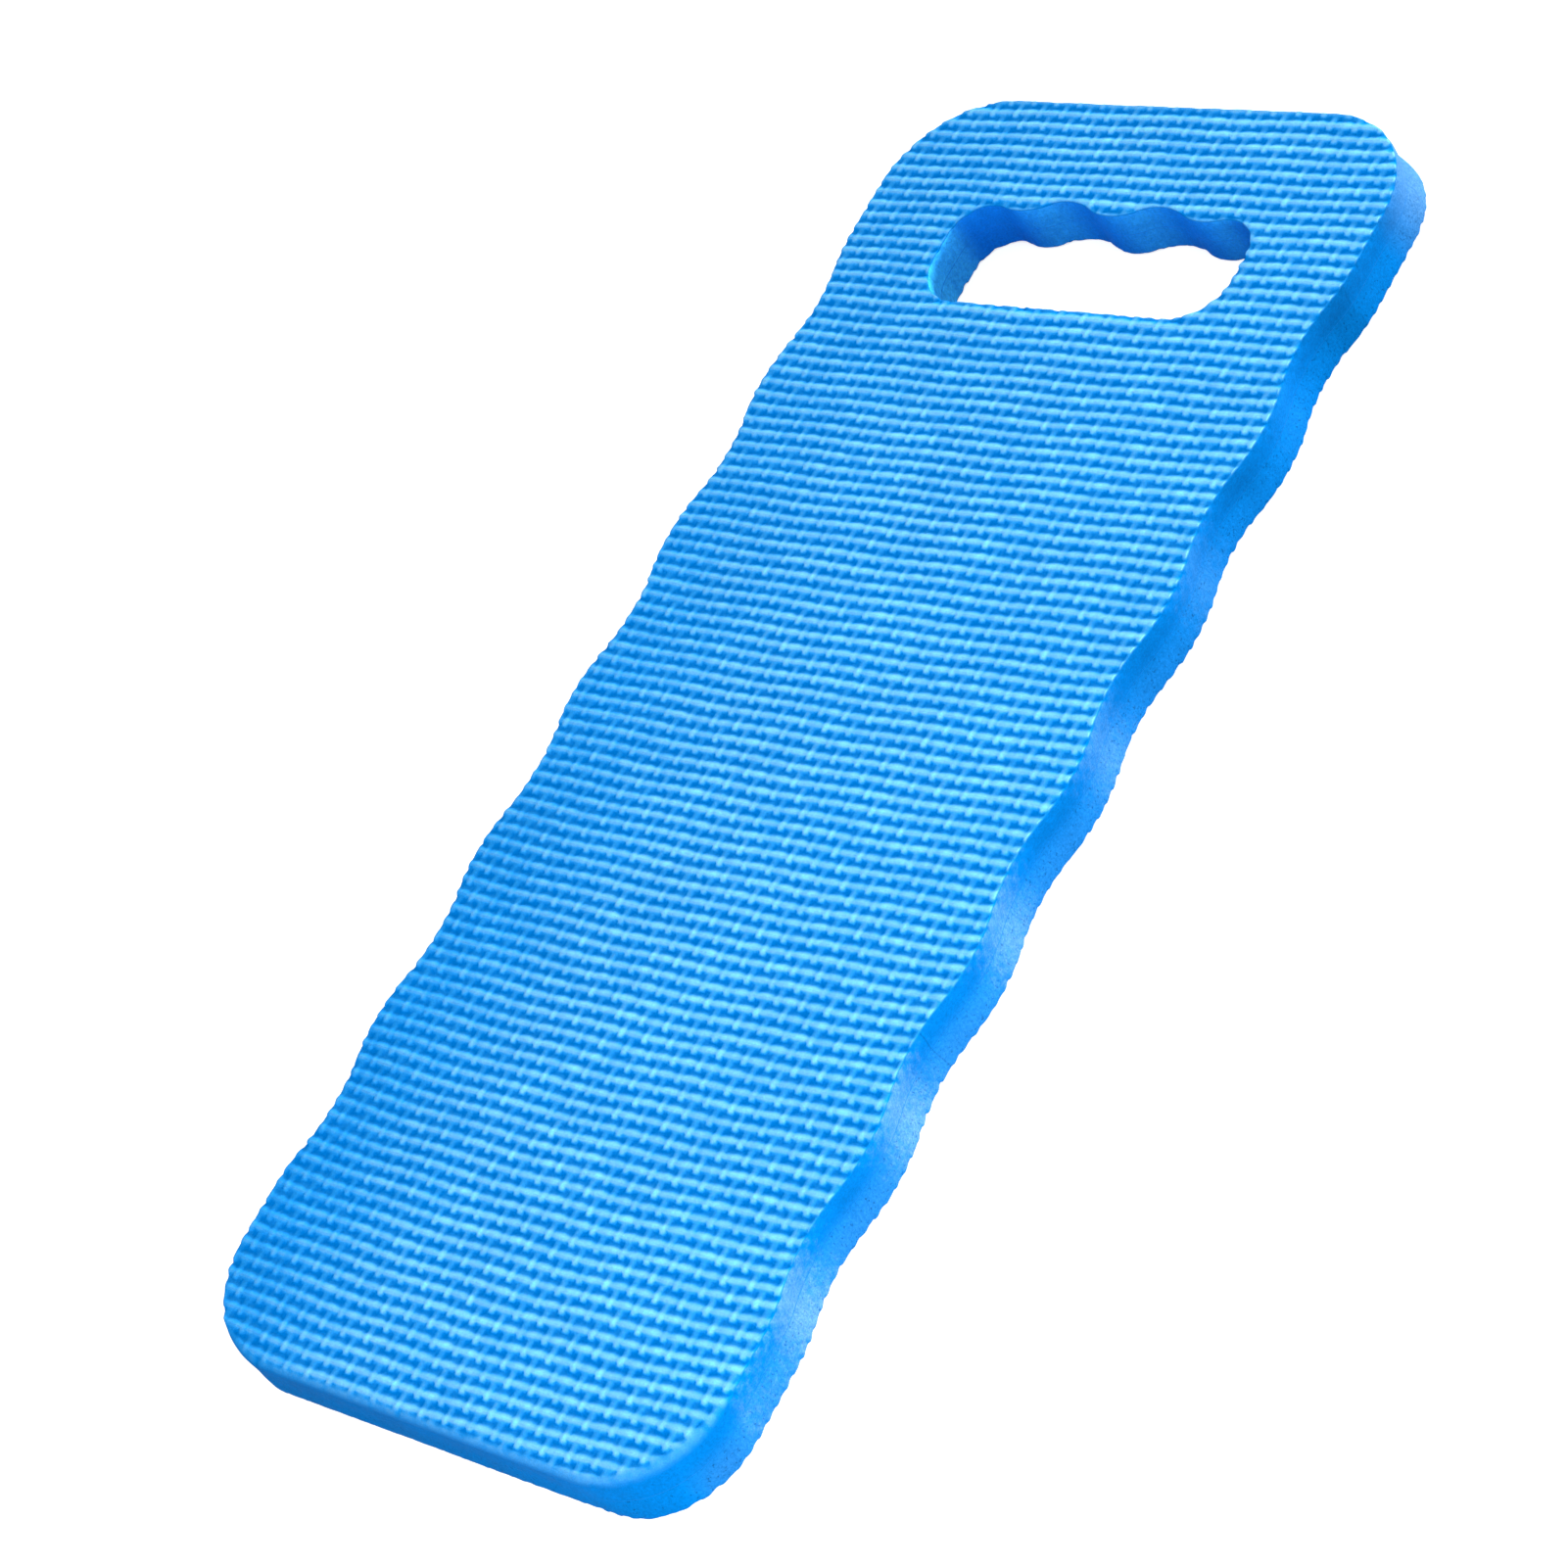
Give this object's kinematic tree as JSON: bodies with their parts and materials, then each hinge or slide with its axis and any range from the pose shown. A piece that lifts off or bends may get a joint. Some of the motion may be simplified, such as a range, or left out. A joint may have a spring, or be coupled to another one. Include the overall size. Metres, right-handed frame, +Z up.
{
  "type": "kickboard float",
  "caption": "Flat blue foam swim float with rounded corners, scalloped long sides, a finger-grooved hand hole near one end and a woven-cloth emboss on its faces",
  "frame": {"origin": "centre of the underside, in the plane the board rests on", "axes": "+X across the board, +Y along it towards the end with the hand hole, +Z up through the thickness"},
  "size_m": [0.182, 0.43, 0.0174],
  "materials": {
    "foam": "matte closed-cell foam with an embossed skin",
    "adhesive": "thin cured contact adhesive"
  },
  "bodies": {
    "root": {"bottom_sheet": "foam", "glue_film": "adhesive", "top_sheet": "foam"}
  },
  "joints": []
}
